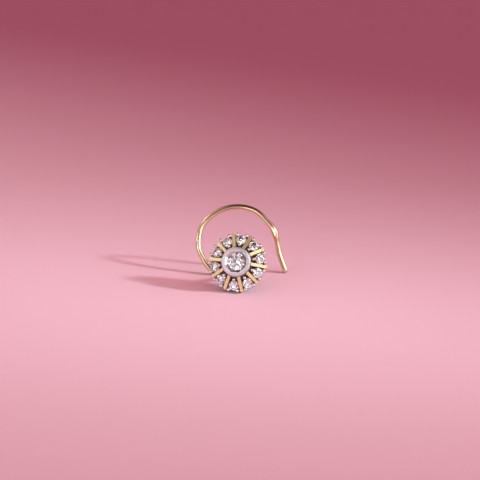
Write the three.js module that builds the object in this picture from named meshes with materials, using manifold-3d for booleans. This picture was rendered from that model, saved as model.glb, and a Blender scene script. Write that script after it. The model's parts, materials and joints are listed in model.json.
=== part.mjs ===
// A flower-cluster nose pin at rest on a table: a round head with a bezel-set centre stone and a ring of
// small claw-set stones between gold ribs, on a straight post that curls into a screw wire.
import * as THREE from 'three';
import { ConvexGeometry } from 'three/addons/geometries/ConvexGeometry.js';
import { mergeVertices } from 'three/addons/utils/BufferGeometryUtils.js';
import Module from 'manifold-3d';

const wasm = await Module();
wasm.setup();

// Driving dimensions, in millimetres and degrees.
// The head's own frame has x to the right, y up and z out of its face, with z = 0 at the rim.

// How the pin rests: the head leans back on its rim and faces a little to the left.
const REST_LEAN = 26;
const REST_YAW = -12.5;

// Head: rim, tapering basket and back plate.
const RIM_RADIUS = 3.5;
const RIM_EDGE_Z = -0.18;
const BACK_Z = -1.2;
const PLATE_TOP_Z = -0.85;
const PLATE_BACK_RADIUS = 2.9;
const PLATE_SIDES = 60;
const PIECE_GAP = 0.05;

// Ribs: flat-topped bars that slope from the bezel down to a round shoulder at the rim.
const CELL_COUNT = 10;
const FIRST_RIB_ANGLE = 104;
const RIB_WIDTH = 0.38;
const RIB_INNER_RADIUS = 1.8;
const RIB_INNER_TOP_Z = 1.0;
const RIB_SHOULDER_RADIUS = 3.3;
const RIB_SHOULDER_Z = 0.16;
const RIB_SHOULDER_ARC = [0, 25, 55, 90];
const RIB_FOOT_Z = -1.1;

// Wire: a post behind the head's centre, one bend, then an open loop that ends in a flared tail.
const WIRE_RADIUS = 0.325;
const POST_START_BEHIND = 1.0;
const POST_END_BEHIND = 4.2;
const LOOP_CENTRE_X = -1.4;
const LOOP_CENTRE_Y = 4.0;
const WIRE_STEPS = 84;
const WIRE_SIDES = 12;
const TIP_ROWS = 8;
// Turn is counted from straight down, clockwise from the front; behind is the distance behind the rim.
// A station with no reach lies on the table.
const WIRE_STATIONS = [
  { turn: -8, reach: 4.15, behind: 5.05 },
  { turn: 11, reach: 4.4, behind: 5.1 },
  { turn: 27, reach: null, behind: 5.08 },
  { turn: 39, reach: 5.2, behind: 5.05 },
  { turn: 52, reach: 5.06, behind: 5.05 },
  { turn: 70, reach: 4.99, behind: 5.06 },
  { turn: 98, reach: 4.65, behind: 5.36 },
  { turn: 126, reach: 4.12, behind: 5.75 },
  { turn: 154, reach: 3.74, behind: 6.05 },
  { turn: 182, reach: 3.58, behind: 6.25 },
  { turn: 210, reach: 3.63, behind: 6.38 },
  { turn: 237, reach: 3.77, behind: 6.48 },
  { turn: 254, reach: 4.15, behind: 6.58 },
  { turn: 265, reach: 4.33, behind: 6.76 },
  { turn: 276, reach: 4.56, behind: 7.0 },
  { turn: 287, reach: 4.98, behind: 7.2 },
  { turn: 302, reach: null, behind: 7.42 },
];

// Centre bezel and its stone; the lip is bright-cut with flats round the stone.
const BEZEL_RADIUS = 1.75;
const BEZEL_WALL_TOP_Z = 1.14;
const BEZEL_CREST_RADIUS = 1.3;
const BEZEL_CREST_Z = 1.36;
const BEZEL_CREST_ARC = [20, 45, 70, 90];
const BEZEL_LIP_RADIUS = 1.0;
const BEZEL_LIP_Z = 1.12;
const BRIGHT_CUT_FLATS = 8;
const BRIGHT_CUT_TOP_RADIUS = 1.26;
const BEZEL_BORE_RADIUS = 0.8;
const BEZEL_SIDES = 40;
const CENTRE_STONE_RADIUS = 1.1;
const CENTRE_GIRDLE_Z = 0.96;

// Side stones: tilted outwards on the head's slope, each in a cup with one inner and two outer claws.
const SIDE_STONE_RADIUS = 0.6;
const SIDE_RING_RADIUS = 2.74;
const SIDE_GIRDLE_Z = 0.18;
const SIDE_TILT = 24;
const CUP_TOP_RADIUS = 0.54;
const CUP_FOOT_RADIUS = 0.34;
const CUP_DEPTH = 0.8;
const CUP_BORE_RADIUS = 0.2;
const CUP_SIDES = 14;
const PETAL_FOOT_RADIUS = 3.14;
const PETAL_TOP_Z = -0.55;
const CLAW_RADIUS = 0.11;
const CLAW_SIDES = 10;
const BEAD_RADIUS = 0.22;
const BEAD_LEAN = 0.06;
const BEAD_ROWS = 6;
const OUTER_CLAW_OUT = 0.5;
const OUTER_CLAW_ASIDE = 0.58;
const OUTER_BEAD_RISE = 0.29;
const INNER_CLAW_RING_RADIUS = 2.03;
const INNER_BEAD_Z = 0.7;

// Round brilliant cut, as shares of the stone's radius, with its angles in degrees.
const TABLE_SHARE = 0.57;
const CROWN_ANGLE = 34.5;
const PAVILION_ANGLE = 40.75;
const GIRDLE_SHARE = 0.06;
const STAR_SHARE = 0.5;
const LOWER_HALF_SHARE = 0.76;
const MAIN_FACETS = 8;

const radians = THREE.MathUtils.degToRad;
const CELL_ANGLE = 360 / CELL_COUNT;
const SEAT_Z = PLATE_TOP_Z + PIECE_GAP;
const BASKET_TAPER = Math.tan(radians(REST_LEAN));

function solidOf(geometry) {
  const bare = geometry.clone();
  bare.deleteAttribute('normal');
  bare.deleteAttribute('uv');
  const welded = mergeVertices(bare, 1e-5);
  return new wasm.Manifold(new wasm.Mesh({
    numProp: 3,
    vertProperties: new Float32Array(welded.attributes.position.array),
    triVerts: new Uint32Array(welded.index.array),
  }));
}

function geometryOf(solid) {
  const mesh = solid.getMesh();
  const geometry = new THREE.BufferGeometry();
  geometry.setAttribute('position', new THREE.BufferAttribute(mesh.vertProperties, 3));
  geometry.setIndex(new THREE.BufferAttribute(mesh.triVerts, 1));
  return geometry;
}

function joined(geometries) {
  return geometries.map(solidOf).reduce((whole, piece) => whole.add(piece));
}

// A solid of revolution about z from a profile of [radius, z] points.
function turned(profile, sides) {
  const points = profile.map(([radius, z]) => new THREE.Vector2(radius, z));
  return new THREE.LatheGeometry(points, sides).rotateX(Math.PI / 2);
}

function ringOf(profile, sides) {
  return turned([...profile, profile[0]], sides);
}

// Points of an ellipse about [radius, z], at the given angles from straight out.
function arcOf([radius, z], run, rise, angles) {
  return angles.map((angle) => [
    radius + run * Math.cos(radians(angle)),
    z + rise * Math.sin(radians(angle)),
  ]);
}

function basketRadius(z) {
  return RIM_RADIUS + (z - RIM_EDGE_Z) * BASKET_TAPER;
}

function ribAngle(index) {
  return FIRST_RIB_ANGLE - index * CELL_ANGLE;
}

function cellAngle(index) {
  return radians(ribAngle(index) - CELL_ANGLE / 2);
}

// A bar with a radial profile of [radius, z] points, standing across the given width at an angle.
function radialBar(profile, width, angle) {
  const shape = new THREE.Shape(profile.map(([radius, z]) => new THREE.Vector2(radius, z)));
  const bar = new THREE.ExtrudeGeometry(shape, { depth: width, bevelEnabled: false });
  bar.translate(0, 0, -width / 2);
  bar.rotateX(Math.PI / 2);
  return bar.rotateZ(radians(angle));
}

function ribProfile() {
  const shoulderRun = RIM_RADIUS - RIB_SHOULDER_RADIUS;
  const shoulderRise = RIB_SHOULDER_Z - RIM_EDGE_Z;
  return [
    [RIB_INNER_RADIUS, RIB_FOOT_Z],
    [basketRadius(RIB_FOOT_Z), RIB_FOOT_Z],
    ...arcOf([RIB_SHOULDER_RADIUS, RIM_EDGE_Z], shoulderRun, shoulderRise, RIB_SHOULDER_ARC),
    [RIB_INNER_RADIUS, RIB_INNER_TOP_Z],
  ];
}

function backPlate() {
  const topRadius = PLATE_BACK_RADIUS + (PLATE_TOP_Z - BACK_Z) * BASKET_TAPER;
  return turned([
    [0, BACK_Z],
    [PLATE_BACK_RADIUS, BACK_Z],
    [topRadius, PLATE_TOP_Z],
    [0, PLATE_TOP_Z],
  ], PLATE_SIDES);
}

function galleryParts() {
  const parts = [backPlate()];
  for (let index = 0; index < CELL_COUNT; index += 1) {
    parts.push(radialBar(ribProfile(), RIB_WIDTH, ribAngle(index)));
  }
  return parts;
}

const restTurn = new THREE.Matrix4().makeRotationFromEuler(
  new THREE.Euler(radians(90 - REST_LEAN), 0, radians(REST_YAW), 'ZXY'),
);

// Height of the rim's centre above the table when the lowest rib ends touch it.
function restHeight(parts) {
  const box = new THREE.Box3();
  for (const part of parts) {
    const turnedPart = part.clone().applyMatrix4(restTurn);
    turnedPart.computeBoundingBox();
    box.union(turnedPart.boundingBox);
  }
  return -box.min.z;
}

// The wire's centre line in the head's frame: post, bend, loop and tail.
function wireCurve(height) {
  const lean = radians(REST_LEAN);
  const tableY = (behind) => (behind * Math.sin(lean) + WIRE_RADIUS - height) / Math.cos(lean);
  const points = [
    new THREE.Vector3(0, 0, -POST_START_BEHIND),
    new THREE.Vector3(0, 0, -(POST_START_BEHIND + POST_END_BEHIND) / 2),
    new THREE.Vector3(0, 0, -POST_END_BEHIND),
  ];
  for (const { turn, reach, behind } of WIRE_STATIONS) {
    const angle = radians(turn);
    const length = reach ?? (LOOP_CENTRE_Y - tableY(behind)) / Math.cos(angle);
    points.push(new THREE.Vector3(
      LOOP_CENTRE_X - length * Math.sin(angle),
      LOOP_CENTRE_Y - length * Math.cos(angle),
      -behind,
    ));
  }
  return new THREE.CatmullRomCurve3(points, false, 'centripetal');
}

function wireParts(height) {
  const curve = wireCurve(height);
  const section = new THREE.Shape();
  section.absarc(0, 0, WIRE_RADIUS, 0, 2 * Math.PI);
  const tube = new THREE.ExtrudeGeometry(new THREE.Shape(section.getSpacedPoints(WIRE_SIDES).slice(0, -1)), {
    steps: WIRE_STEPS,
    extrudePath: curve,
    bevelEnabled: false,
  });
  const tip = new THREE.SphereGeometry(WIRE_RADIUS, WIRE_SIDES, TIP_ROWS);
  const end = curve.getPoint(1);
  return [tube, tip.translate(end.x, end.y, end.z)];
}

// Round brilliant with its girdle's middle at z = 0: table, star, kite and half facets, and a pointed culet.
function brilliant(radius) {
  const half = (radius * GIRDLE_SHARE) / 2;
  const crown = Math.tan(radians(CROWN_ANGLE));
  const pavilion = Math.tan(radians(PAVILION_ANGLE));
  const step = Math.PI / MAIN_FACETS;
  const tableRadius = radius * TABLE_SHARE;
  const tableFlat = tableRadius * Math.cos(step);
  const starRadius = tableFlat + (radius - tableFlat) * STAR_SHARE;
  const lowerRadius = radius * (1 - LOWER_HALF_SHARE);
  const points = [new THREE.Vector3(0, 0, -half - radius * pavilion)];
  const addPoint = (r, angle, z) => {
    points.push(new THREE.Vector3(r * Math.cos(angle), r * Math.sin(angle), z));
  };
  for (let index = 0; index < MAIN_FACETS; index += 1) {
    const main = 2 * index * step;
    const between = main + step;
    addPoint(tableRadius, main, half + (radius - tableRadius) * crown);
    addPoint(starRadius, between, half + (radius - starRadius * Math.cos(step)) * crown);
    addPoint(lowerRadius, between, -half - (radius - lowerRadius * Math.cos(step)) * pavilion);
    for (const angle of [main, between]) {
      addPoint(radius, angle, half);
      addPoint(radius, angle, -half);
    }
  }
  return new ConvexGeometry(points);
}

// Where a side stone sits: turned outwards by the slope, in the cell that follows the given rib.
function sideSeat(index) {
  const spot = new THREE.Matrix4().makeTranslation(SIDE_RING_RADIUS, 0, SIDE_GIRDLE_Z);
  const tilt = new THREE.Matrix4().makeRotationY(radians(SIDE_TILT));
  return new THREE.Matrix4().makeRotationZ(cellAngle(index)).multiply(spot).multiply(tilt);
}

// What the graver takes away round the stone: a funnel with flats that slope from the crest to the lip.
function brightCut() {
  const flare = (BRIGHT_CUT_TOP_RADIUS - BEZEL_LIP_RADIUS) / (BEZEL_CREST_Z - BEZEL_LIP_Z);
  const corner = Math.cos(Math.PI / BRIGHT_CUT_FLATS);
  const cornerRadius = (z) => (BEZEL_LIP_RADIUS + (z - BEZEL_LIP_Z) * flare) / corner;
  const top = BEZEL_CREST_Z + PIECE_GAP;
  const foot = CENTRE_GIRDLE_Z;
  const radii = [cornerRadius(top), cornerRadius(foot)];
  const funnel = new THREE.CylinderGeometry(...radii, top - foot, BRIGHT_CUT_FLATS);
  funnel.rotateX(Math.PI / 2).rotateZ(Math.PI / BRIGHT_CUT_FLATS);
  return funnel.translate(0, 0, (top + foot) / 2);
}

function bezel() {
  const crestRise = BEZEL_CREST_Z - BEZEL_WALL_TOP_Z;
  const crestRun = BEZEL_RADIUS - BEZEL_CREST_RADIUS;
  const seatRadius = CENTRE_STONE_RADIUS + PIECE_GAP;
  const seatFall = (seatRadius - BEZEL_BORE_RADIUS) * Math.tan(radians(PAVILION_ANGLE));
  const seatTop = CENTRE_GIRDLE_Z - PIECE_GAP;
  const seatEdge = CENTRE_GIRDLE_Z + PIECE_GAP;
  const lipRise = (BEZEL_LIP_Z - seatEdge) / (seatRadius - BEZEL_LIP_RADIUS);
  const uncutRadius = BEZEL_LIP_RADIUS - PIECE_GAP;
  const collar = ringOf([
    [BEZEL_BORE_RADIUS, SEAT_Z],
    [BEZEL_RADIUS, SEAT_Z],
    [BEZEL_RADIUS, BEZEL_WALL_TOP_Z],
    ...arcOf([BEZEL_CREST_RADIUS, BEZEL_WALL_TOP_Z], crestRun, crestRise, BEZEL_CREST_ARC),
    [uncutRadius, BEZEL_CREST_Z],
    [uncutRadius, BEZEL_LIP_Z + PIECE_GAP * lipRise],
    [seatRadius, seatEdge],
    [seatRadius, seatTop],
    [BEZEL_BORE_RADIUS, seatTop - seatFall],
  ], BEZEL_SIDES);
  return solidOf(collar).subtract(solidOf(brightCut()));
}

// Flat petals between the ribs join every cup to the bezel.
function petals() {
  const topRadius = PETAL_FOOT_RADIUS + (PETAL_TOP_Z - SEAT_Z) * BASKET_TAPER;
  const disc = solidOf(ringOf([
    [BEZEL_BORE_RADIUS + PIECE_GAP, SEAT_Z],
    [PETAL_FOOT_RADIUS, SEAT_Z],
    [topRadius, PETAL_TOP_Z],
    [BEZEL_BORE_RADIUS + PIECE_GAP, PETAL_TOP_Z],
  ], PLATE_SIDES));
  const slotWidth = RIB_WIDTH + 2 * PIECE_GAP;
  const slotStart = RIB_INNER_RADIUS - PIECE_GAP;
  const slotProfile = [
    [slotStart, BACK_Z],
    [RIM_RADIUS, BACK_Z],
    [RIM_RADIUS, RIB_INNER_TOP_Z],
    [slotStart, RIB_INNER_TOP_Z],
  ];
  let petalled = disc;
  for (let index = 0; index < CELL_COUNT; index += 1) {
    petalled = petalled.subtract(solidOf(radialBar(slotProfile, slotWidth, ribAngle(index))));
  }
  return petalled;
}

// A claw at [x, y] from one height to another, with a round bead on its end that leans towards an angle.
function claw([x, y], footZ, beadZ, leanAngle) {
  const stem = new THREE.CylinderGeometry(CLAW_RADIUS, CLAW_RADIUS, beadZ - footZ, CLAW_SIDES);
  stem.rotateX(Math.PI / 2).translate(x, y, (footZ + beadZ) / 2);
  const bead = new THREE.SphereGeometry(BEAD_RADIUS, CLAW_SIDES, BEAD_ROWS);
  bead.translate(x + BEAD_LEAN * Math.cos(leanAngle), y + BEAD_LEAN * Math.sin(leanAngle), beadZ);
  return [stem, bead];
}

// A cup under the stone, with a seat that runs parallel to the pavilion.
function cup() {
  const slope = Math.tan(radians(PAVILION_ANGLE));
  const seatTop = -2 * PIECE_GAP - (SIDE_STONE_RADIUS - CUP_TOP_RADIUS) * slope;
  return ringOf([
    [CUP_BORE_RADIUS, -CUP_DEPTH],
    [CUP_FOOT_RADIUS, -CUP_DEPTH],
    [CUP_TOP_RADIUS, seatTop],
    [CUP_BORE_RADIUS, seatTop - (CUP_TOP_RADIUS - CUP_BORE_RADIUS) * slope],
  ], CUP_SIDES);
}

// One cell of the setting: a cup and two outer claws along the stone's axis, and one inner claw.
function cellParts(index) {
  const tilted = [cup()];
  for (const side of [-1, 1]) {
    const aside = side * OUTER_CLAW_ASIDE;
    const towardsStone = Math.atan2(-aside, -OUTER_CLAW_OUT);
    tilted.push(...claw([OUTER_CLAW_OUT, aside], -CUP_DEPTH, OUTER_BEAD_RISE, towardsStone));
  }
  const inner = claw([INNER_CLAW_RING_RADIUS, 0], SEAT_Z + PIECE_GAP, INNER_BEAD_Z, 0);
  return [
    ...tilted.map((part) => part.applyMatrix4(sideSeat(index))),
    ...inner.map((part) => part.rotateZ(cellAngle(index))),
  ];
}

function settingGeometry() {
  let solid = petals().add(bezel());
  for (let index = 0; index < CELL_COUNT; index += 1) {
    solid = solid.add(joined(cellParts(index)));
  }
  return geometryOf(solid);
}

function finish(color, roughness, metalness) {
  return new THREE.MeshStandardMaterial({ color, roughness, metalness });
}

const yellowGold = finish(0xe2b45c, 0.18, 1);
const whiteGold = finish(0xd8d5da, 0.12, 1);
const cutStone = finish(0xf3ecef, 0.03, 0);

function piece(name, geometry, material) {
  const mesh = new THREE.Mesh(geometry, material);
  mesh.name = name;
  return mesh;
}

const gallery = galleryParts();
const headHeight = restHeight(gallery);
const pin = new THREE.Group();
pin.add(piece('gallery_wire', geometryOf(joined([...gallery, ...wireParts(headHeight)])), yellowGold));
pin.add(piece('setting', settingGeometry(), whiteGold));

const centreStone = piece('centre_stone', brilliant(CENTRE_STONE_RADIUS), cutStone);
centreStone.position.z = CENTRE_GIRDLE_Z;
pin.add(centreStone);

for (let index = 0; index < CELL_COUNT; index += 1) {
  const name = `side_stone_${String(index + 1).padStart(2, '0')}`;
  const stone = piece(name, brilliant(SIDE_STONE_RADIUS), cutStone);
  stone.applyMatrix4(sideSeat(index));
  pin.add(stone);
}

// Lay the pin down as it rests, with the origin under the middle of its box.
pin.applyMatrix4(restTurn);
const group = new THREE.Group();
group.add(pin);
const box = new THREE.Box3().setFromObject(group, true);
const middle = box.getCenter(new THREE.Vector3());
pin.position.sub(new THREE.Vector3(middle.x, middle.y, box.min.z));

export default group;
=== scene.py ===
# %% [markdown]
# # A cluster nose pin on a blush table
#
# This lesson dresses a small jewel: a round head with one stone in a bezel, ten little stones between gold
# ribs, and a gold wire that curls behind it. The solids that the checks measure come in with the frame. They
# are faceted, so each metal piece is modelled again here with rounder sections and softened edges, and each
# stone is cut again, in the place where its solid is.

# %% Load the frame
import json
import math

import bpy
from mathutils import Matrix, Vector


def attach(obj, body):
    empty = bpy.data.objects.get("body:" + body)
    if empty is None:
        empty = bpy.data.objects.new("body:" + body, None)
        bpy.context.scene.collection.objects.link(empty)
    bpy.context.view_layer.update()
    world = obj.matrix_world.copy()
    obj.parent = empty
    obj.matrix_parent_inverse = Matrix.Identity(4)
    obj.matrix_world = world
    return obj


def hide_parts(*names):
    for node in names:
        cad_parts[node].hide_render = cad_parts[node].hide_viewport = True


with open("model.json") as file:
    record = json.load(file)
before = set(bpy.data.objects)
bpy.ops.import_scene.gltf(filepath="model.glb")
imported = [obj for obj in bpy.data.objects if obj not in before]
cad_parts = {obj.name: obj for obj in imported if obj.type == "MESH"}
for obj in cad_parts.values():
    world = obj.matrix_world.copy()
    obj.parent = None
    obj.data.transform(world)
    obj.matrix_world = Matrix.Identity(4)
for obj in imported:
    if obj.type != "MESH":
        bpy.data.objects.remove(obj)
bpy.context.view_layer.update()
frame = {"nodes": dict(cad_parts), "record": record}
bpy.ops.object.select_all(action="DESELECT")
print("solids in the frame:", len(frame["nodes"]))

# %% [markdown]
# ## The camera
#
# A jewel this small is photographed from a little above the table with a long lens, so its ring of stones
# stays round. One could match a view by eye, but it is safer to aim the camera from named values: a point
# above the head, a distance, and the height of the view. Everything here is in metres.

# %% Camera
MM = 0.001
CAMERA_AIM = Vector((-0.2, -3.76, 6.04)) * MM
CAMERA_DISTANCE = 233.4 * MM
CAMERA_ELEVATION = math.radians(18)
CAMERA_LENS = 150

camera_back = Vector((0, -math.cos(CAMERA_ELEVATION), math.sin(CAMERA_ELEVATION)))
bpy.ops.object.camera_add(
    location=CAMERA_AIM + camera_back * CAMERA_DISTANCE,
    rotation=(math.pi / 2 - CAMERA_ELEVATION, 0, 0),
)
camera = bpy.context.object
camera.data.lens = CAMERA_LENS
camera.data.clip_start = MM
bpy.context.scene.camera = camera
print("camera height in mm:", round(camera.location.z / MM, 1))

# %% [markdown]
# ## The jeweller's bench
#
# The pin leans back on the table, and modelling on a slope is awkward. A jeweller turns the work in a clamp
# until it faces them. The same is done here: pieces are modelled flat on a bench in millimetres, with x to
# the right, y up and z out of the face, and one matrix then carries them to where the head rests. The record
# gives a point on the flat back of the head and the way it faces, and that is all the matrix needs.

# %% The head's place
BACK_Z = -1.2
BACK_POINT_Y = 1.8

back_mount = frame["record"]["mounts"][0]
head_front = -Vector(back_mount["axis"])
head_right = Vector((0, 0, 1)).cross(head_front).normalized()
head_up = head_front.cross(head_right)
rim_centre = (
    Vector(back_mount["pos_m"])
    - head_up * BACK_POINT_Y * MM
    - head_front * BACK_Z * MM
)
HEAD = Matrix((head_right, head_up, head_front)).transposed().to_4x4()
HEAD.translation = rim_centre
HEAD = HEAD @ Matrix.Scale(MM, 4)
print("rim centre in mm:", [round(value / MM, 3) for value in rim_centre])

# %% [markdown]
# A few bench habits are worth writing once. A new primitive is opened for editing with everything selected.
# A finished piece has its doubles merged and its faces turned outwards before it is smoothed, and only edges
# sharper than a given angle stay crisp. Operators act on all that is selected, so a piece is picked alone
# before it is moved, and its place is then applied to its mesh.

# %% Bench habits
MERGE_DISTANCE = 1e-5


def pick(piece):
    """Selects one piece alone and makes it the active one."""
    bpy.ops.object.select_all(action="DESELECT")
    piece.select_set(True)
    bpy.context.view_layer.objects.active = piece


def open_piece(name):
    """Names the primitive that was just added and opens it with everything selected."""
    piece = bpy.context.object
    piece.name = name
    bpy.ops.object.transform_apply(location=True, rotation=True, scale=True)
    bpy.ops.object.mode_set(mode="EDIT")
    bpy.ops.mesh.select_all(action="SELECT")
    return piece


def close_piece(piece, crisp_angle):
    """Merges doubles, turns the faces outwards and smooths all but the crisp edges."""
    bpy.ops.mesh.select_all(action="SELECT")
    bpy.ops.mesh.remove_doubles(threshold=MERGE_DISTANCE)
    bpy.ops.mesh.normals_make_consistent(inside=False)
    bpy.ops.object.mode_set(mode="OBJECT")
    bpy.ops.object.shade_smooth_by_angle(angle=math.radians(crisp_angle))
    return piece


def soften_edges(piece, width, segments):
    """Rounds every edge sharper than about 30 degrees, as a polishing mop does."""
    bevel = piece.modifiers.new("polished edges", "BEVEL")
    bevel.width = width
    bevel.segments = segments
    bevel.limit_method = "ANGLE"
    bevel.harden_normals = False
    bpy.context.view_layer.objects.active = piece
    bpy.ops.object.modifier_apply(modifier=bevel.name)


def spot_piece(piece, spot):
    """Moves a piece to a spot and applies it, so that its place is in its mesh."""
    pick(piece)
    piece.matrix_world = spot
    bpy.ops.object.transform_apply(location=True, rotation=True, scale=True)
    return piece


def dress(piece, node, finish):
    """Gives a piece its finish, hangs it under the root and hides the solid that it replaces."""
    piece.data.materials.clear()
    piece.data.materials.append(finish)
    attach(piece, "root")
    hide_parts(node)


print("bench ready, doubles merged within mm:", MERGE_DISTANCE)

# %% [markdown]
# ## Finishes
#
# A finish is a small network of nodes. Sums are easier to read as sums than as boxes with lines between them,
# so one class wraps a socket and adds a Math node for each sign in an expression. The reflected forms are
# there because a number may also come first, as in 1 - share.


# %% Sums of sockets
class Flow:
    """A value on its way through a board's nodes, so that sums can be written as sums."""

    def __init__(self, board, socket):
        self.board = board
        self.socket = socket

    def sum_node(self, operation, first, second):
        return self.board.node("ShaderNodeMath", {"operation": operation}, {0: first, 1: second})

    def __add__(self, other):
        return self.sum_node("ADD", self, other)

    def __radd__(self, other):
        return self.sum_node("ADD", other, self)

    def __sub__(self, other):
        return self.sum_node("SUBTRACT", self, other)

    def __rsub__(self, other):
        return self.sum_node("SUBTRACT", other, self)

    def __mul__(self, other):
        return self.sum_node("MULTIPLY", self, other)

    def __rmul__(self, other):
        return self.sum_node("MULTIPLY", other, self)


print("signs that add a node: + - *")

# %% [markdown]
# Every other node comes from one method that takes its kind, its settings and what its sockets hold. Nodes
# could also be wired one line at a time, but then a finish of ten nodes hides its idea in sixty lines. The
# room at the end of the lesson is built on the same board as the materials.


# %% Node board
class NodeBoard:
    """A tree of nodes that are added one at a time."""

    def __init__(self, owner):
        owner.use_nodes = True
        self.tree = owner.node_tree

    def node(self, kind, settings, sockets, output=0):
        """Adds a node, sets it up, fills its sockets and gives one of its outputs."""
        node = self.tree.nodes.new(kind)
        for setting, value in settings.items():
            setattr(node, setting, value)
        self.feed(node, sockets)
        return Flow(self, node.outputs[output])

    def feed(self, node, sockets):
        """Links what flows and sets what is a plain value."""
        for socket, value in sockets.items():
            if isinstance(value, Flow):
                self.tree.links.new(value.socket, node.inputs[socket])
            else:
                node.inputs[socket].default_value = value

    def vector(self, operation, sockets, output=0):
        """A Vector Math node; dot products and distances come out of its Value."""
        return self.node("ShaderNodeVectorMath", {"operation": operation}, sockets, output)

    def blend(self, share, first, second):
        """A colour between two colours."""
        return self.node(
            "ShaderNodeMix", {"data_type": "RGBA"}, {0: share, 6: first, 7: second}, 2
        )

    def ramp(self, value, start, end):
        """A soft step from 0 at the start to 1 at the end."""
        return self.node(
            "ShaderNodeMapRange",
            {"interpolation_type": "SMOOTHSTEP"},
            {"Value": value, "From Min": start, "From Max": end},
        )


print("node board ready")

# %% [markdown]
# A material adds a few habits of its own. It counts places on the piece in millimetres, so that a cloud or a
# scratch can be given its real size, and a bump's depth is in millimetres too. The places are Object
# coordinates, which stay with the piece wherever it is turned.


# %% Material board
class Finish(NodeBoard):
    """A material on a piece."""

    def __init__(self, name):
        self.material = bpy.data.materials.new(name)
        super().__init__(self.material)

    def surface(self, **sockets):
        """Sets the shader's sockets; an underscore stands for the space in a socket's name."""
        shader = self.tree.nodes["Principled BSDF"]
        self.feed(shader, {name.replace("_", " "): value for name, value in sockets.items()})

    def millimetres(self):
        """Places on the piece, counted in millimetres."""
        places = self.node("ShaderNodeTexCoord", {}, {}, "Object")
        return self.vector("SCALE", {"Vector": places, "Scale": 1 / MM})

    def noise(self, places, scale, detail):
        """Cloudy values around one half."""
        return self.node(
            "ShaderNodeTexNoise", {}, {"Vector": places, "Scale": scale, "Detail": detail}
        )

    def bump(self, height, depth, strength):
        """A normal that follows small heights, with a depth in millimetres."""
        return self.node(
            "ShaderNodeBump", {}, {"Height": height, "Distance": depth * MM, "Strength": strength}
        )


print("material board ready")

# %% [markdown]
# ### Painted shade between the ribs
#
# Cast gold is filed and then polished on a mop. Little light reaches deep between the ribs, so the metal
# there
# is painted darker: this is painted shade, not a colour of the gold. The setter's graver, on the other hand,
# leaves the inside of the bezel brighter than its satin rim, through a lower roughness. Both could be painted
# into a map, but they follow from how far a place lies in front of the rim and from the head's axis, so two
# lengths in millimetres are enough.

# %% Places on the head
RECESS_TOP = -0.1
RECESS_FLOOR = -0.6
RECESS_BORE = 1.3
RECESS_WALL = 1.7
RECESS_INSIDE = 2.9
RECESS_EDGE = 3.1
GRAVER_EDGE = 1.36
GRAVER_INSIDE = 1.26


def head_place(finish, places):
    """How far a place lies in front of the rim, and how far from the head's axis."""
    from_rim = finish.vector("SUBTRACT", {0: places, 1: rim_centre / MM})
    height = finish.vector("DOT_PRODUCT", {0: from_rim, 1: head_front}, "Value")
    along = finish.vector("SCALE", {0: head_front, "Scale": height})
    aside = finish.vector("DISTANCE", {0: from_rim, 1: along}, "Value")
    return height, aside


def painted_shade_share(finish, height, aside):
    """How much painted shade a place gets: from 0 in the open to 1 deep between the ribs."""
    sunk = finish.ramp(height, RECESS_TOP, RECESS_FLOOR)
    inside = finish.ramp(aside, RECESS_EDGE, RECESS_INSIDE)
    return sunk * inside * finish.ramp(aside, RECESS_BORE, RECESS_WALL)


print("dull recess in mm from the axis:", RECESS_WALL, "to", RECESS_INSIDE)

# %% [markdown]
# ### Polished metal
#
# What polishing leaves is a bright metal with slow clouds of slightly paler colour where the alloy is worn,
# and fine drag lines that blur its reflections a little. One recipe serves four finishes, gold and white,
# each bright or satin: a cloud moves the colour, and stretched noise moves the roughness and gives a faint
# bump. The wire, the plate and the small settings are bright. The ribs and the bezel's rim are satin.

# %% Polished metal
CLOUD_SCALE = 1.1
CLOUD_DETAIL = 3
DRAG_TURN = (0.4, 0.7, 0.2)
DRAG_STRETCH = (2.5, 22, 22)
DRAG_DETAIL = 4
DRAG_DEPTH = 0.004
DRAG_STRENGTH = 0.2
# Painted shade: very dark colours laid into the recesses between the ribs, where little light reaches.
SHADE_PAINT_GOLD = (0.22, 0.1, 0.05, 1)
SHADE_PAINT_WHITE = (0.1, 0.06, 0.055, 1)


def polished_metal(name, shades, gloss, drag, painted_shade=None, graver_shine=0):
    """Two shades of an alloy, a roughness, what drag lines add, a painted shade colour for recesses and a
    bezel shine.
    """
    finish = Finish(name)
    places = finish.millimetres()
    tone = finish.blend(finish.noise(places, CLOUD_SCALE, CLOUD_DETAIL), *shades)
    stretched = finish.node(
        "ShaderNodeMapping", {}, {"Vector": places, "Rotation": DRAG_TURN, "Scale": DRAG_STRETCH}
    )
    lines = finish.noise(stretched, 1, DRAG_DETAIL)
    roughness = gloss + lines * drag
    if painted_shade:
        height, aside = head_place(finish, places)
        # Painted shade: deep between the ribs the colour is darkened towards the shade colour.
        tone = finish.blend(painted_shade_share(finish, height, aside), tone, painted_shade)
        cut = finish.ramp(aside, GRAVER_EDGE, GRAVER_INSIDE)
        roughness = roughness * (1 - graver_shine * cut)
    finish.surface(
        Base_Color=tone,
        Metallic=1.0,
        Roughness=roughness,
        Normal=finish.bump(lines, DRAG_DEPTH, DRAG_STRENGTH),
    )
    return finish.material


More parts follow.
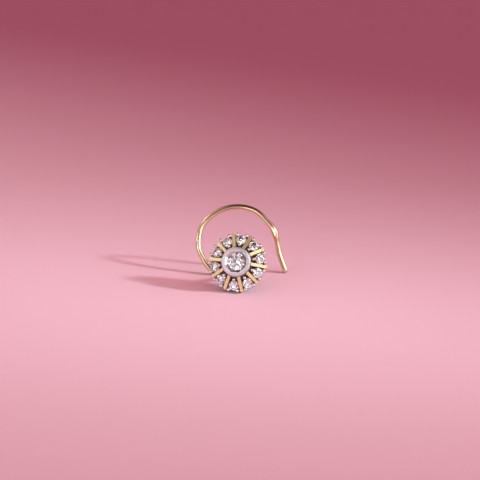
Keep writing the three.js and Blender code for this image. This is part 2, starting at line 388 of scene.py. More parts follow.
bright_gold = polished_metal(
    "bright_gold", [(0.68, 0.54, 0.32, 1), (0.8, 0.68, 0.46, 1)], gloss=0.14, drag=0.12
)
satin_gold = polished_metal(
    "satin_gold", [(0.87, 0.74, 0.4, 1), (0.96, 0.87, 0.55, 1)], gloss=0.38, drag=0.2, painted_shade=SHADE_PAINT_GOLD
)
white_gold = polished_metal(
    "white_gold", [(0.66, 0.63, 0.66, 1), (0.77, 0.75, 0.78, 1)], gloss=0.1, drag=0.14, painted_shade=SHADE_PAINT_WHITE
)
satin_white = polished_metal(
    "satin_white",
    [(0.64, 0.63, 0.65, 1), (0.74, 0.74, 0.75, 1)],
    gloss=0.48,
    drag=0.14,
    painted_shade=SHADE_PAINT_WHITE,
    graver_shine=0.8,
)
print("metals:", bright_gold.name, satin_gold.name, white_gold.name, satin_white.name)

# %% [markdown]
# ### Cut stone
#
# The sparkle of a brilliant isn't painted on. It comes from flat facets and a high refractive index, which
# throws light back up through the crown. So the finish is clear glass with the index of a diamond and only a
# trace of cloud in its tint.

# %% Cut stone
STONE_IOR = 2.417
STONE_CLEAR = (1, 0.985, 0.985, 1)
STONE_VEILED = (0.95, 0.94, 0.96, 1)
VEIL_SCALE = 2.0
VEIL_DETAIL = 2
VEIL_HAZE = 0.01


def clear_stone(name):
    """Clear glass that bends light as a diamond does."""
    finish = Finish(name)
    veil = finish.noise(finish.millimetres(), VEIL_SCALE, VEIL_DETAIL)
    finish.surface(
        Base_Color=finish.blend(veil, STONE_CLEAR, STONE_VEILED),
        Roughness=VEIL_HAZE * veil,
        IOR=STONE_IOR,
        Transmission_Weight=1.0,
    )
    return finish.material


cut_stone = clear_stone("cut_stone")
print("stone:", cut_stone.name)

# %% [markdown]
# ## The gold basket
#
# Ten gold ribs stand on a round plate like the spokes of a wheel, and soldered together they are the basket
# that carries the cluster. The plate tapers towards the back, by the angle that the head leans at. It could
# be a cylinder, but a circle that is raised and widened keeps the taper in one step, and a bevel then softens
# both rims. The same step from row to row makes every round piece of the head.

# %% Back plate
BASKET_TAPER = math.tan(math.asin(head_front.z))
PLATE_TOP_Z = -0.85
PLATE_BACK_RADIUS = 2.9
PLATE_SIDES = 96
PLATE_EDGE = 0.05
PLATE_CRISP = 40


def raise_rows(profile, centre=(0, 0)):
    """Extrudes the selected circle from each (radius, height) row to the next, about a centre."""
    for (radius, height), (next_radius, next_height) in zip(profile, profile[1:]):
        bpy.ops.mesh.extrude_region_move(
            TRANSFORM_OT_translate={"value": (0, 0, next_height - height)}
        )
        swell = next_radius / radius
        bpy.ops.transform.resize(value=(swell, swell, 1), center_override=(*centre, 0))


def turn_solid(name, profile, sides):
    """Raises a filled circle through the rows of a profile, as a lathe would leave it."""
    radius, height = profile[0]
    bpy.ops.mesh.primitive_circle_add(
        vertices=sides, radius=radius, fill_type="NGON", location=(0, 0, height)
    )
    piece = open_piece(name)
    raise_rows(profile)
    return piece


plate_top_radius = PLATE_BACK_RADIUS + (PLATE_TOP_Z - BACK_Z) * BASKET_TAPER
back_plate = turn_solid(
    "back_plate", [(PLATE_BACK_RADIUS, BACK_Z), (plate_top_radius, PLATE_TOP_Z)], PLATE_SIDES
)
close_piece(back_plate, PLATE_CRISP)
soften_edges(back_plate, PLATE_EDGE, segments=3)
bpy.ops.object.shade_smooth_by_angle(angle=math.radians(PLATE_CRISP))
spot_piece(back_plate, HEAD)
dress(back_plate, "gallery_wire", bright_gold)
print("back plate faces:", len(back_plate.data.polygons))

# %% [markdown]
# A rib is a flat-topped bar. It slopes from the bezel down to the rim, rounds over a shoulder there and runs
# back under the head. Its side view could be traced as an outline, but a foot and a top height for every
# distance from the head's centre say the same and follow the plate's taper by themselves.

# %% Rib section
RIM_RADIUS = 3.5
RIM_EDGE_Z = -0.18
RIB_INNER_RADIUS = 1.8
RIB_INNER_TOP_Z = 1.0
RIB_SHOULDER_RADIUS = 3.3
RIB_SHOULDER_Z = 0.16
RIB_FOOT_Z = -1.1
RIB_TIP_HEIGHT = 0.06


def rib_foot(radius):
    """Height of the rib's underside: level first, then up along the basket's taper."""
    return max(RIB_FOOT_Z, RIM_EDGE_Z + (radius - RIM_RADIUS) / BASKET_TAPER)


def rib_top(radius):
    """Height of the rib's top: a straight slope, then a round shoulder down to the rim."""
    if radius <= RIB_SHOULDER_RADIUS:
        share = (radius - RIB_INNER_RADIUS) / (RIB_SHOULDER_RADIUS - RIB_INNER_RADIUS)
        return RIB_INNER_TOP_Z + (RIB_SHOULDER_Z - RIB_INNER_TOP_Z) * share
    share = (radius - RIB_SHOULDER_RADIUS) / (RIM_RADIUS - RIB_SHOULDER_RADIUS)
    drop = RIB_SHOULDER_Z - RIM_EDGE_Z - RIB_TIP_HEIGHT
    return RIB_SHOULDER_Z - drop * (1 - math.sqrt(1 - share * share))


def rib_section(radius):
    """Middle height and height of the rib at a distance from the head's centre."""
    foot = rib_foot(radius)
    top = rib_top(radius)
    return (foot + top) / 2, top - foot


print("rib height at the bezel in mm:", round(rib_section(RIB_INNER_RADIUS)[1], 2))

# %% [markdown]
# The cross-section is drawn at the rib's inner end and pulled outwards from station to station, which is
# quicker than cutting a block. The stations lie closer together round the shoulder. The rib is made once on
# the bench, and its copies are turned round the head.

# %% Ribs
CELL_COUNT = 10
CELL_ANGLE = 360 / CELL_COUNT
FIRST_RIB_ANGLE = 104
RIB_WIDTH = 0.38
RIB_SHOULDER_STATIONS = (3.38, 3.44, 3.48)
RIB_EDGE = 0.035
RIB_CRISP = 35


def pull_rib(name, stations):
    """Pulls a rectangle outwards through the stations."""
    middle, height = rib_section(stations[0])
    bpy.ops.mesh.primitive_plane_add(
        size=1, location=(stations[0], 0, middle), rotation=(0, math.pi / 2, 0)
    )
    rib = open_piece(name)
    bpy.ops.transform.resize(
        value=(1, RIB_WIDTH, height), center_override=(stations[0], 0, middle)
    )
    for last, radius in zip(stations, stations[1:]):
        last_middle, last_height = rib_section(last)
        middle, height = rib_section(radius)
        bpy.ops.mesh.extrude_region_move(
            TRANSFORM_OT_translate={"value": (radius - last, 0, middle - last_middle)}
        )
        bpy.ops.transform.resize(
            value=(1, 1, height / last_height), center_override=(radius, 0, middle)
        )
    return rib


def copy_piece(piece, name):
    """A copy with a mesh of its own."""
    pick(piece)
    bpy.ops.object.duplicate(linked=False)
    twin = bpy.context.object
    twin.name = name
    return twin


def turn_about_axis(degrees):
    """A turn on the bench, anticlockwise as the head is seen from the front."""
    return Matrix.Rotation(math.radians(degrees), 4, "Z")


foot_end = RIM_RADIUS + (RIB_FOOT_Z - RIM_EDGE_Z) * BASKET_TAPER
rib_stations = [RIB_INNER_RADIUS, foot_end, RIB_SHOULDER_RADIUS, *RIB_SHOULDER_STATIONS, RIM_RADIUS]
rib_pattern = pull_rib("rib_pattern", rib_stations)
close_piece(rib_pattern, RIB_CRISP)
soften_edges(rib_pattern, RIB_EDGE, segments=3)
bpy.ops.object.shade_smooth_by_angle(angle=math.radians(RIB_CRISP))
for index in range(CELL_COUNT):
    rib = copy_piece(rib_pattern, f"rib_{index + 1:02d}")
    spot_piece(rib, HEAD @ turn_about_axis(FIRST_RIB_ANGLE - index * CELL_ANGLE))
    dress(rib, "gallery_wire", satin_gold)
bpy.data.objects.remove(rib_pattern)
print("ribs:", CELL_COUNT, "with faces each:", len(rib.data.polygons))

# %% [markdown]
# ## The screw wire
#
# The post leaves the middle of the plate, turns down and curls into an open loop that holds the pin in the
# nose. Its tail was bent with pliers, so it has a kink. A circle could be pulled along step by step, but a
# curve with a round bevel follows a bent wire more evenly. The route goes through stations round the loop,
# each with its turn from straight down, its reach from the loop's centre and its depth behind the rim.

# %% Wire route
POST_BEHIND = (1.0, 2.6, 4.2)
LOOP_CENTRE = Vector((-1.4, 4.0, 0))
# Turn in degrees, reach and behind in millimetres.
WIRE_STATIONS = [
    (-8, 4.15, 5.05),
    (11, 4.4, 5.1),
    (27, 5.28, 5.08),
    (39, 5.2, 5.05),
    (52, 5.06, 5.05),
    (70, 4.99, 5.06),
    (98, 4.65, 5.36),
    (126, 4.12, 5.75),
    (154, 3.74, 6.05),
    (182, 3.58, 6.25),
    (210, 3.63, 6.38),
    (237, 3.77, 6.48),
    (254, 4.15, 6.58),
    (265, 4.33, 6.76),
    (276, 4.56, 7.0),
    (287, 4.98, 7.2),
    (302, 6.73, 7.42),
]
ROUTE_STEPS = 14


def wire_points():
    """The points of the post and then of the loop, on the bench."""
    points = [Vector((0, 0, -behind)) for behind in POST_BEHIND]
    for turn, reach, behind in WIRE_STATIONS:
        angle = math.radians(turn)
        side = Vector((-math.sin(angle), -math.cos(angle), 0))
        points.append(LOOP_CENTRE + side * reach - Vector((0, 0, behind)))
    return points


def smooth_route(points):
    """A curve through all the points whose bends follow the spacing of the points."""
    padded = [2 * points[0] - points[1], *points, 2 * points[-1] - points[-2]]
    route = []
    for before, start, end, after in zip(padded, padded[1:], padded[2:], padded[3:]):
        gap_before = (start - before).length ** 0.5
        gap = (end - start).length ** 0.5
        gap_after = (after - end).length ** 0.5
        leave = (start - before) / gap_before - (end - before) / (gap_before + gap) + (end - start) / gap
        arrive = (end - start) / gap - (after - start) / (gap + gap_after) + (after - end) / gap_after
        for step in range(ROUTE_STEPS):
            t = step / ROUTE_STEPS
            route.append(
                start * (2 * t**3 - 3 * t**2 + 1)
                + leave * gap * (t**3 - 2 * t**2 + t)
                + end * (3 * t**2 - 2 * t**3)
                + arrive * gap * (t**3 - t**2)
            )
    return [*route, points[-1]]


route = smooth_route(wire_points())
route_length = sum((end - start).length for start, end in zip(route, route[1:]))
print("wire length in mm:", round(route_length, 2))

# %% [markdown]
# The wire isn't quite even: it is a little fuller where the pliers pinched the kink and slimmer after it, and
# its end is rounded so that it slides through the skin. Both could be sculpted, but a curve takes a radius at
# each of its points, so they are only numbers along it. The round end is a short run of points past the last
# one, whose radii close like a half circle.

# %% Wire
WIRE_RADIUS = 0.325
WIRE_SIDES_PER_QUARTER = 6
# Places along the wire's stations, and how many steps of the route each swell spreads over.
FULLER_STATION = 12.4
FULLER_SPREAD = 11
FULLER = 0.3
SLIMMER_STATION = 14
SLIMMER_SPREAD = 8
SLIMMER = -0.1
TIP_STEPS = 8
TIP_END = 0.03


def route_step(station):
    """The step of the route at a station of the loop, which comes after the post's points."""
    return (len(POST_BEHIND) + station) * ROUTE_STEPS


def swell_at(step):
    """How much fuller or slimmer than even the wire is at a step of its route."""
    from_fuller = (step - route_step(FULLER_STATION)) / FULLER_SPREAD
    from_slimmer = (step - route_step(SLIMMER_STATION)) / SLIMMER_SPREAD
    return 1 + FULLER * math.exp(-from_fuller**2) + SLIMMER * math.exp(-from_slimmer**2)


rows = [(point, swell_at(step)) for step, point in enumerate(route)]
tail_way = (route[-1] - route[-2]).normalized()
for step in range(1, TIP_STEPS + 1):
    angle = math.pi / 2 * step / TIP_STEPS
    rows.append((route[-1] + tail_way * WIRE_RADIUS * math.sin(angle), max(math.cos(angle), TIP_END)))

bpy.ops.curve.primitive_nurbs_path_add()
screw_wire = bpy.context.object
screw_wire.name = "screw_wire"
line = screw_wire.data
line.splines.clear()
spline = line.splines.new("POLY")
spline.points.add(len(rows) - 1)
for point, (place, radius) in zip(spline.points, rows):
    point.co = (*place, 1)
    point.radius = radius
line.bevel_depth = WIRE_RADIUS
line.bevel_resolution = WIRE_SIDES_PER_QUARTER
line.use_fill_caps = True
bpy.ops.object.convert(target="MESH")
print("rows along the wire:", len(rows))

# %% [markdown]
# The jaws of the pliers also left a small flat by the kink, which flashes in the light. It could be cut off,
# but a jaw presses and takes nothing away. So the wire is turned until the flat lies level, what stands out
# past it is picked by its place and scaled to nothing in height, and the wire is turned back.

# %% Flat by the kink
PRESS_FACING = Vector((0.01, -0.2, 0.98)).normalized()
PRESS_HEIGHT = 0.33
PRESS_REACH = 1.1
WIRE_CRISP = 50


def press_flat(piece, place):
    """Lays the flat level, presses what stands out past it, and turns the piece back."""
    level_turn = PRESS_FACING.rotation_difference(Vector((0, 0, 1))).to_matrix().to_4x4()
    spot_piece(piece, level_turn)
    centre = level_turn @ place
    level = centre.z + PRESS_HEIGHT
    bpy.ops.object.mode_set(mode="EDIT")
    bpy.ops.mesh.select_all(action="DESELECT")
    bpy.ops.object.mode_set(mode="OBJECT")
    for vertex in piece.data.vertices:
        near = (vertex.co - centre).length < PRESS_REACH
        vertex.select = near and vertex.co.z > level
    bpy.ops.object.mode_set(mode="EDIT")
    bpy.ops.transform.resize(value=(1, 1, 0), center_override=(centre.x, centre.y, level))
    bpy.ops.object.mode_set(mode="OBJECT")
    spot_piece(piece, level_turn.inverted())


press_flat(screw_wire, route[round(route_step(FULLER_STATION))])
bpy.ops.object.mode_set(mode="EDIT")
close_piece(screw_wire, WIRE_CRISP)
spot_piece(screw_wire, HEAD)
dress(screw_wire, "gallery_wire", bright_gold)
print("wire faces:", len(screw_wire.data.polygons))

# %% [markdown]
# ## The centre bezel
#
# The middle stone sits in a collar of white gold whose wall is burnished over the stone's edge. From outside
# in, its section is a straight wall, a broad rounded crest, an uncut lip and a seat that the stone's
# underside rests on. A spin of that section would do, and raising a circle row by row gives the same ring
# with every row in reach.

# %% Collar
PIECE_GAP = 0.05
SEAT_Z = PLATE_TOP_Z + PIECE_GAP
PAVILION_SLOPE = math.tan(math.radians(40.75))
BEZEL_RADIUS = 1.75
BEZEL_WALL_TOP_Z = 1.14
BEZEL_CREST_RADIUS = 1.3
BEZEL_CREST_Z = 1.36
BEZEL_CREST_ROWS = 16
BEZEL_LIP_RADIUS = 1.0
BEZEL_LIP_Z = 1.12
BEZEL_BORE_RADIUS = 0.8
BEZEL_SIDES = 128
COLLAR_CRISP = 30
CENTRE_STONE_RADIUS = 1.1
CENTRE_GIRDLE_Z = 0.96


def turn_ring(name, profile, sides):
    """Raises an open circle through the rows of a profile and bridges the last row to the first."""
    radius, height = profile[0]
    bpy.ops.mesh.primitive_circle_add(vertices=sides, radius=radius, location=(0, 0, height))
    piece = open_piece(name)
    raise_rows(profile)
    bpy.ops.mesh.select_all(action="SELECT")
    bpy.ops.mesh.region_to_loop()
    bpy.ops.mesh.bridge_edge_loops()
    return piece


def arc_rows(centre, run, rise, start, end, count):
    """Rows along an arc of an ellipse, from one angle to another, both included."""
    rows = []
    for index in range(count + 1):
        angle = math.radians(start + (end - start) * index / count)
        rows.append((centre[0] + run * math.cos(angle), centre[1] + rise * math.sin(angle)))
    return rows


seat_radius = CENTRE_STONE_RADIUS + PIECE_GAP
seat_top = CENTRE_GIRDLE_Z - PIECE_GAP
seat_edge = CENTRE_GIRDLE_Z + PIECE_GAP
lip_rise = (BEZEL_LIP_Z - seat_edge) / (seat_radius - BEZEL_LIP_RADIUS)
uncut_radius = BEZEL_LIP_RADIUS - PIECE_GAP
crest_rows = arc_rows(
    (BEZEL_CREST_RADIUS, BEZEL_WALL_TOP_Z),
    run=BEZEL_RADIUS - BEZEL_CREST_RADIUS,
    rise=BEZEL_CREST_Z - BEZEL_WALL_TOP_Z,
    start=0,
    end=90,
    count=BEZEL_CREST_ROWS,
)
collar_profile = [
    (BEZEL_BORE_RADIUS, SEAT_Z),
    (BEZEL_RADIUS, SEAT_Z),
    *crest_rows,
    (uncut_radius, BEZEL_CREST_Z),
    (uncut_radius, BEZEL_LIP_Z + PIECE_GAP * lip_rise),
    (seat_radius, seat_edge),
    (seat_radius, seat_top),
    (BEZEL_BORE_RADIUS, seat_top - (seat_radius - BEZEL_BORE_RADIUS) * PAVILION_SLOPE),
]
centre_bezel = turn_ring("centre_bezel", collar_profile, BEZEL_SIDES)
close_piece(centre_bezel, COLLAR_CRISP)
print("collar faces:", len(centre_bezel.data.polygons))

# %% [markdown]
# The setter then cuts the lip bright: with a polished graver they slice eight flats round the stone, which
# throw light at it and give the opening its eight corners. A funnel with eight sides is what the graver takes
# away, so it is modelled as a cone and subtracted. The smoothing angle is small here, so that the flats stay
# flat while the turned rim is still round.

# %% Bright cut
BRIGHT_CUT_FLATS = 8
BRIGHT_CUT_TOP_RADIUS = 1.26
BRIGHT_CUT_EDGE = 0.02
BRIGHT_CUT_CRISP = 8


def make_funnel():
    """What the graver takes away: eight flats that widen from the lip to the crest."""
    flare = (BRIGHT_CUT_TOP_RADIUS - BEZEL_LIP_RADIUS) / (BEZEL_CREST_Z - BEZEL_LIP_Z)
    corner_share = math.cos(math.pi / BRIGHT_CUT_FLATS)
    top = BEZEL_CREST_Z + PIECE_GAP
    radii = [BEZEL_LIP_RADIUS + (z - BEZEL_LIP_Z) * flare for z in (CENTRE_GIRDLE_Z, top)]
    bpy.ops.mesh.primitive_cone_add(
        vertices=BRIGHT_CUT_FLATS,
        radius1=radii[0] / corner_share,
        radius2=radii[1] / corner_share,
        depth=top - CENTRE_GIRDLE_Z,
        location=(0, 0, (top + CENTRE_GIRDLE_Z) / 2),
        rotation=(0, 0, math.pi / BRIGHT_CUT_FLATS),
    )
    return bpy.context.object


def cut_away(piece, tool):
    """Subtracts a tool from a piece and puts the tool away."""
    cut = piece.modifiers.new("graver", "BOOLEAN")
    cut.operation = "DIFFERENCE"
    cut.object = tool
    pick(piece)
    bpy.ops.object.modifier_apply(modifier=cut.name)
    bpy.data.objects.remove(tool)


cut_away(centre_bezel, make_funnel())
soften_edges(centre_bezel, BRIGHT_CUT_EDGE, segments=2)
bpy.ops.object.shade_smooth_by_angle(angle=math.radians(BRIGHT_CUT_CRISP))
spot_piece(centre_bezel, HEAD)
dress(centre_bezel, "setting", satin_white)
print("bezel faces:", len(centre_bezel.data.polygons))

# %% [markdown]
# ## The ten little settings
#
# Between two ribs lies a petal of white gold with a cup on it, and three claws hold the stone in the cup: one
# by the bezel and two at the rim. One setting is made on the bench with its cell along x. A petal could be
# drawn as an outline, but it is a slice of a round plate, so a plate is turned and then trimmed at the two
# ribs and towards the bezel. The cup is a small ring that leans outwards with its stone.

# %% Petal and cup
SIDE_STONE_RADIUS = 0.6
SIDE_RING_RADIUS = 2.74
SIDE_GIRDLE_Z = 0.18
SIDE_TILT = 24
SIDE_SEAT = Matrix.Translation((SIDE_RING_RADIUS, 0, SIDE_GIRDLE_Z)) @ Matrix.Rotation(
    math.radians(SIDE_TILT), 4, "Y"
)
PETAL_FOOT_RADIUS = 3.14
PETAL_TOP_Z = -0.55
PETAL_INNER = 1.5
PETAL_EDGE = 0.03
SLOT_HALF = RIB_WIDTH / 2 + PIECE_GAP
CUP_TOP_RADIUS = 0.54
CUP_FOOT_RADIUS = 0.34
CUP_DEPTH = 0.8
CUP_BORE_RADIUS = 0.2
CUP_SIDES = 40
CUP_EDGE = 0.02
CELL_CRISP = 30


def trim(point, outward):
    """Cuts the piece flat at a plane and closes the cut."""
    bpy.ops.mesh.select_all(action="SELECT")
    bpy.ops.mesh.bisect(
        plane_co=point, plane_no=outward, use_fill=True, clear_outer=True, threshold=MERGE_DISTANCE
    )


def make_petal():
    """A slice of a tapered plate between two ribs."""
    top_radius = PETAL_FOOT_RADIUS + (PETAL_TOP_Z - SEAT_Z) * BASKET_TAPER
    petal = turn_solid("petal", [(PETAL_FOOT_RADIUS, SEAT_Z), (top_radius, PETAL_TOP_Z)], PLATE_SIDES)
    for side in (-1, 1):
        angle = math.radians(side * (CELL_ANGLE / 2 + 90))
        away = Vector((math.cos(angle), math.sin(angle), 0))
        trim(-away * SLOT_HALF, away)
    trim((PETAL_INNER, 0, 0), (-1, 0, 0))
    close_piece(petal, CELL_CRISP)
    soften_edges(petal, PETAL_EDGE, segments=2)
    return petal


def make_cup():
    """A small ring whose inside slopes like the underside of its stone."""
    top = -2 * PIECE_GAP - (SIDE_STONE_RADIUS - CUP_TOP_RADIUS) * PAVILION_SLOPE
    profile = [
        (CUP_BORE_RADIUS, -CUP_DEPTH),
        (CUP_FOOT_RADIUS, -CUP_DEPTH),
        (CUP_TOP_RADIUS, top),
        (CUP_BORE_RADIUS, top - (CUP_TOP_RADIUS - CUP_BORE_RADIUS) * PAVILION_SLOPE),
    ]
    cup = turn_ring("cup", profile, CUP_SIDES)
    close_piece(cup, CELL_CRISP)
    soften_edges(cup, CUP_EDGE, segments=2)
    return spot_piece(cup, SIDE_SEAT)


setting_parts = [make_petal(), make_cup()]
print("petal and cup faces:", [len(part.data.polygons) for part in setting_parts])

# %% [markdown]
# A claw is a thin stem whose tip is burred into a round bead and pushed over, so that it leans on the stone.
# A sphere on a cylinder would meet it in a hard line, so the stem and the bead are raised from one circle:
# straight up to the neck, then aside, then round the bead, whose last ring is merged to a point.

# %% Claws
CLAW_RADIUS = 0.11
CLAW_SIDES = 24
CLAW_CRISP = 60
BEAD_RADIUS = 0.22
BEAD_LEAN = 0.06
BEAD_NECK = 0.3
BEAD_START = -60
BEAD_END = 84
BEAD_ROWS = 12
OUTER_CLAW_OUT = 0.5
OUTER_CLAW_ASIDE = 0.58
OUTER_BEAD_RISE = 0.29
INNER_CLAW_RING_RADIUS = 2.03
INNER_BEAD_Z = 0.7


def make_claw(foot_z, bead_z, lean_angle):
    """A stem whose bead leans towards an angle."""
    lean = (BEAD_LEAN * math.cos(lean_angle), BEAD_LEAN * math.sin(lean_angle))
    neck_z = bead_z - BEAD_NECK
    bead = arc_rows((0, bead_z), BEAD_RADIUS, BEAD_RADIUS, BEAD_START, BEAD_END, BEAD_ROWS)
    claw = turn_solid("claw", [(CLAW_RADIUS, foot_z), (CLAW_RADIUS, neck_z)], CLAW_SIDES)
    bpy.ops.mesh.extrude_region_move(
        TRANSFORM_OT_translate={"value": (*lean, bead[0][1] - neck_z)}
    )
    raise_rows(bead, lean)
    bpy.ops.mesh.merge(type="CENTER")
    return close_piece(claw, CLAW_CRISP)


for side in (-1, 1):
    aside = side * OUTER_CLAW_ASIDE
    claw = make_claw(-CUP_DEPTH, OUTER_BEAD_RISE, math.atan2(-aside, -OUTER_CLAW_OUT))
    setting_parts.append(spot_piece(claw, SIDE_SEAT @ Matrix.Translation((OUTER_CLAW_OUT, aside, 0))))
inner_claw = make_claw(SEAT_Z + PIECE_GAP, INNER_BEAD_Z, 0)
setting_parts.append(spot_piece(inner_claw, Matrix.Translation((INNER_CLAW_RING_RADIUS, 0, 0))))
print("faces of one claw:", len(inner_claw.data.polygons))

# %% [markdown]
# On the real head these parts are soldered, so petal, cup and claws are joined into one setting before it is
# copied. Ten settings could each be made in place, but one pattern and a turn for each cell keep them alike.

# %% Settings
SETTING_CRISP = 40


def cell_turn(index):
    """The turn from the bench to a cell, which lies halfway between two ribs."""
    return turn_about_axis(FIRST_RIB_ANGLE - (index + 0.5) * CELL_ANGLE)


setting_pattern = setting_parts[0]
pick(setting_pattern)
for part in setting_parts:
    part.select_set(True)
bpy.ops.object.join()
bpy.ops.object.shade_smooth_by_angle(angle=math.radians(SETTING_CRISP))
for index in range(CELL_COUNT):
    setting = copy_piece(setting_pattern, f"stone_setting_{index + 1:02d}")
    spot_piece(setting, HEAD @ cell_turn(index))
    dress(setting, "setting", white_gold)
bpy.data.objects.remove(setting_pattern)
print("settings:", CELL_COUNT, "with faces each:", len(setting.data.polygons))

# %% [markdown]
# ## Cutting the stones
#
# A lapidary turns a rough stone round and then grinds flat facets on it, one after another. The bisect tool
# does the same: each facet is a plane, and what lies outside it is ground away. A full brilliant has a table,
# eight kites, eight stars and sixteen halves above its edge, and eight mains and sixteen halves below. Each
# plane goes through three corners of the cut, so the corners are all that has to be worked out.

# %% Brilliant
TABLE_SHARE = 0.57
CROWN_SLOPE = math.tan(math.radians(34.5))
GIRDLE_HALF = 0.03
GIRDLE_SIDES = 64
STAR_SHARE = 0.5
LOWER_HALF_SHARE = 0.76
MAIN_FACETS = 8
ROUGH_DEPTH = 2.4
FACET_CRISP = 1


def corner(radius, half_steps, height):
    """A corner at a distance from the axis, its turn counted in half steps between main facets."""
    angle = math.pi / MAIN_FACETS * half_steps
    return Vector((radius * math.cos(angle), radius * math.sin(angle), height))


def facets():
    """Three corners of each facet of a brilliant with a radius of 1."""
    flat = math.cos(math.pi / MAIN_FACETS)
    table_z = GIRDLE_HALF + (1 - TABLE_SHARE) * CROWN_SLOPE
    star_radius = TABLE_SHARE * flat + (1 - TABLE_SHARE * flat) * STAR_SHARE
    star_z = GIRDLE_HALF + (1 - star_radius * flat) * CROWN_SLOPE
    lower_radius = 1 - LOWER_HALF_SHARE
    lower_z = -GIRDLE_HALF - (1 - lower_radius * flat) * PAVILION_SLOPE
    yield [corner(TABLE_SHARE, turn, table_z) for turn in (0, 4, 8)]
    for main in range(0, 2 * MAIN_FACETS, 2):
        stars = [corner(star_radius, main + turn, star_z) for turn in (-1, 1)]
        lowers = [corner(lower_radius, main + turn, lower_z) for turn in (-1, 1)]
        upper_edge = [corner(1, main + turn, GIRDLE_HALF) for turn in (0, 1, 2)]
        lower_edge = [corner(1, main + turn, -GIRDLE_HALF) for turn in (0, 1, 2)]
        yield [upper_edge[0], *stars]
        yield [corner(TABLE_SHARE, main, table_z), corner(TABLE_SHARE, main + 2, table_z), stars[1]]
        yield [lower_edge[0], *lowers]
        for edge, tip in ((upper_edge, stars[1]), (lower_edge, lowers[1])):
            yield [edge[0], edge[1], tip]
            yield [edge[1], edge[2], tip]


def cut_brilliant(name):
    """Grinds all facets on a round rough stone with a radius of 1."""
    bpy.ops.mesh.primitive_cylinder_add(vertices=GIRDLE_SIDES, radius=1, depth=ROUGH_DEPTH)
    stone = open_piece(name)
    for first, second, third in facets():
        outward = (second - first).cross(third - first).normalized()
        if outward.dot(first) < 0:
            outward.negate()
        trim(first, outward)
    return close_piece(stone, FACET_CRISP)


stone_pattern = cut_brilliant("stone_pattern")
print("facets and girdle faces:", len(stone_pattern.data.polygons))

# %% [markdown]
# The big stone goes into the bezel and the small ones into their cups. No setter lines up the facets of small
# stones, so each is turned a little further than the last, and they don't all flash at once.

# %% Set the stones
FACET_STEP = 17

centre_brilliant = copy_piece(stone_pattern, "centre_brilliant")
centre_seat = Matrix.Translation((0, 0, CENTRE_GIRDLE_Z))
spot_piece(centre_brilliant, HEAD @ centre_seat @ Matrix.Scale(CENTRE_STONE_RADIUS, 4))
dress(centre_brilliant, "centre_stone", cut_stone)
for index in range(CELL_COUNT):
    stone = copy_piece(stone_pattern, f"side_brilliant_{index + 1:02d}")
    seat = cell_turn(index) @ SIDE_SEAT @ turn_about_axis(index * FACET_STEP)
    spot_piece(stone, HEAD @ seat @ Matrix.Scale(SIDE_STONE_RADIUS, 4))
    dress(stone, f"side_stone_{index + 1:02d}", cut_stone)
bpy.data.objects.remove(stone_pattern)
print("stones set:", CELL_COUNT + 1)

# %% [markdown]
# ## Table and light
#
# The pin lies on plain blush paper. Towards the back its colour fades to a darker rose, which is painted
# shade where the lamp's light falls off. Such a fade could be a printed picture, but two colours and a ramp
# along one direction do it here, with a fine tooth that keeps the paper matt.

# %% Table
TABLE_SIZE = 3.0
BLUSH = (0.565, 0.435, 0.515, 1)
# Painted shade: the far paper is darkened to rose, as if the lamp's light fell off there.
PAINTED_SHADE_ROSE = (0.28, 0.105, 0.165, 1)
SHADE_FADE_WAY = (0.5, 0.866, 0)
SHADE_FADE_START = -14
SHADE_FADE_END = 112
TOOTH_SCALE = 6.0
TOOTH_DETAIL = 3
TOOTH_DEPTH = 0.01
TOOTH_STRENGTH = 0.3
PAPER_MATT = 0.7
PAPER_TOOTH = 0.2
PAPER_SHINE = 0.1


def paper_with_painted_shade(name):
    """Matt blush paper with painted shade: it darkens to rose along one direction."""
    finish = Finish(name)
    places = finish.millimetres()
    tooth = finish.noise(places, TOOTH_SCALE, TOOTH_DETAIL)
    # Painted shade: along this way the paper darkens from blush to rose.
    depth = finish.vector("DOT_PRODUCT", {0: places, 1: SHADE_FADE_WAY}, "Value")
    finish.surface(
        Base_Color=finish.blend(finish.ramp(depth, SHADE_FADE_START, SHADE_FADE_END), BLUSH, PAINTED_SHADE_ROSE),
        Roughness=PAPER_MATT + tooth * PAPER_TOOTH,
        Specular_IOR_Level=PAPER_SHINE,
        Normal=finish.bump(tooth, TOOTH_DEPTH, TOOTH_STRENGTH),
    )
    return finish.material


bpy.ops.object.select_all(action="DESELECT")
bpy.ops.mesh.primitive_plane_add(size=TABLE_SIZE)
table = bpy.context.object
table.name = "table"
table.data.materials.append(paper_with_painted_shade("paper_with_painted_shade"))
print("table laid, metres wide:", TABLE_SIZE)

# %% [markdown]
# One lamp stands low on the right and draws the long soft shadow to the left. It is a spot with a soft edge,
# which also lets the far paper fall darker. A rose lamp above tints the paper. Metal that mirrored the two
# would show a white burn and a pink cast, so both are left out of reflections, and the rose one also out of
# what the stones let through. The room gives the metal something better to mirror.

# %% Lamps
KEY_WAY = Vector((1.99, -0.38, 1)).normalized()
KEY_AIM = rim_centre + Vector((0, -8, 0)) * MM
KEY_DISTANCE = 0.6
KEY_RADIUS = 0.03
KEY_POWER = 16.8
KEY_CONE = math.radians(8.5)
KEY_SOFTNESS = 1
FILL_HEIGHT = 0.6
FILL_SIZE = 0.8
FILL_POWER = 2.2
FILL_ROSE = (1, 0.06, 0.08)


def add_lamp(kind, name, aim, way, distance, power):
    """A lamp that looks at a place from a given way and distance."""
    bpy.ops.object.light_add(type=kind, location=aim + way * distance)
    lamp = bpy.context.object
    lamp.name = name
    lamp.rotation_euler = way.to_track_quat("Z", "Y").to_euler()
    lamp.data.energy = power
    return lamp


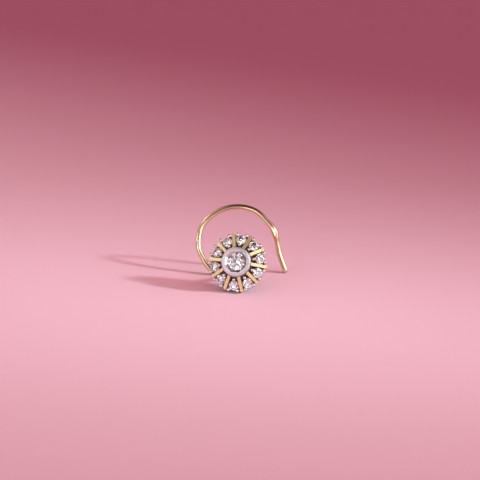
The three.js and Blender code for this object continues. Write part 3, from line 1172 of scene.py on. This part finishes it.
key_lamp = add_lamp("SPOT", "key_lamp", KEY_AIM, KEY_WAY, KEY_DISTANCE, KEY_POWER)
key_lamp.data.shadow_soft_size = KEY_RADIUS
key_lamp.data.spot_size = KEY_CONE
key_lamp.data.spot_blend = KEY_SOFTNESS
key_lamp.visible_glossy = False
rose_fill = add_lamp("AREA", "rose_fill", rim_centre, Vector((0, 0, 1)), FILL_HEIGHT, FILL_POWER)
rose_fill.data.size = FILL_SIZE
rose_fill.data.color = FILL_ROSE
rose_fill.visible_glossy = False
rose_fill.visible_transmission = False
print("lamps:", key_lamp.name, rose_fill.name)

# %% [markdown]
# Polished metal is only as good as what is around it. This room is white in front and rose behind. The lamp
# shines through a wide window, and a soft rosy glow hangs in the ceiling. A picture of a real room would do
# as well, but here each light is laid over the last by how nearly a way into the room follows the light's
# own way, so every one of them can be moved by itself.

# %% Room
ROOM_ROSE = (0.4, 0.15, 0.17, 1)
WALL_WAY = (-0.1, -0.8, -0.5)
WALL_FADE = (-0.35, 0.45)
WALL_WHITE = (1.02, 0.92, 0.96, 1)
WINDOW_FADE = (0.76, 1.0)
WINDOW_WHITE = (2.2, 2.05, 2.05, 1)
LAMP_FADE = (0.975, 0.996)
LAMP_WHITE = (6, 5.7, 5.6, 1)
CEILING_WAY = Vector((-0.5, 0.05, 0.87)).normalized()
CEILING_FADE = (0.84, 0.97)
CEILING_GLOW = (1.0, 0.74, 0.68, 1)

room = bpy.data.worlds.new("room")
bpy.context.scene.world = room
walls = NodeBoard(room)
way = walls.node("ShaderNodeTexCoord", {}, {}, "Generated")


def facing(direction):
    """How nearly a way into the room follows a given direction."""
    return walls.vector("DOT_PRODUCT", {0: way, 1: direction}, "Value")


def lay_light(colour, direction, fade, light):
    """Lays a light with soft edges over the room's colour."""
    return walls.blend(walls.ramp(facing(direction), *fade), colour, light)


room_colour = lay_light(ROOM_ROSE, WALL_WAY, WALL_FADE, WALL_WHITE)
room_colour = lay_light(room_colour, KEY_WAY, WINDOW_FADE, WINDOW_WHITE)
room_colour = lay_light(room_colour, KEY_WAY, LAMP_FADE, LAMP_WHITE)
room_colour = lay_light(room_colour, CEILING_WAY, CEILING_FADE, CEILING_GLOW)
print("room:", room.name, "with nodes:", len(room.node_tree.nodes))

# %% [markdown]
# A dim strip overhead draws the dark line along the wire, as a photographer's black card does. Six small
# bright spots are the sparkle: a facet that happens to face one lights up. They come last, so that the strip
# doesn't cover them. The plain view transform shows the colours as they are mixed.

# %% Strip and sparks
STRIP_SIDES = (0.42, 0.2)
STRIP_RISE = (0.15, 0.4)
STRIP_SHADE = (0.09, 0.04, 0.035, 1)
SPARK_FADE = (0.994, 0.998)
SPARK_WHITE = (8, 7.6, 7.7, 1)
SPARK_WAYS = [
    (-0.6, -0.6, 0.5),
    (-0.9, 0.1, 0.35),
    (0.3, -0.75, 0.6),
    (-0.62, 0.58, 0.52),
    (0.5, -0.5, 0.7),
    (-0.391, -0.903, 0.175),
]

across = walls.node("ShaderNodeMath", {"operation": "ABSOLUTE"}, {0: facing((1, 0, 0))})
strip = walls.ramp(across, *STRIP_SIDES) * walls.ramp(facing((0, 0, 1)), *STRIP_RISE)
room_colour = walls.blend(strip, room_colour, STRIP_SHADE)
for spark_way in SPARK_WAYS:
    room_colour = lay_light(room_colour, Vector(spark_way).normalized(), SPARK_FADE, SPARK_WHITE)
walls.feed(room.node_tree.nodes["Background"], {"Color": room_colour})
bpy.context.scene.view_settings.view_transform = "Standard"
print("sparks in the room:", len(SPARK_WAYS))
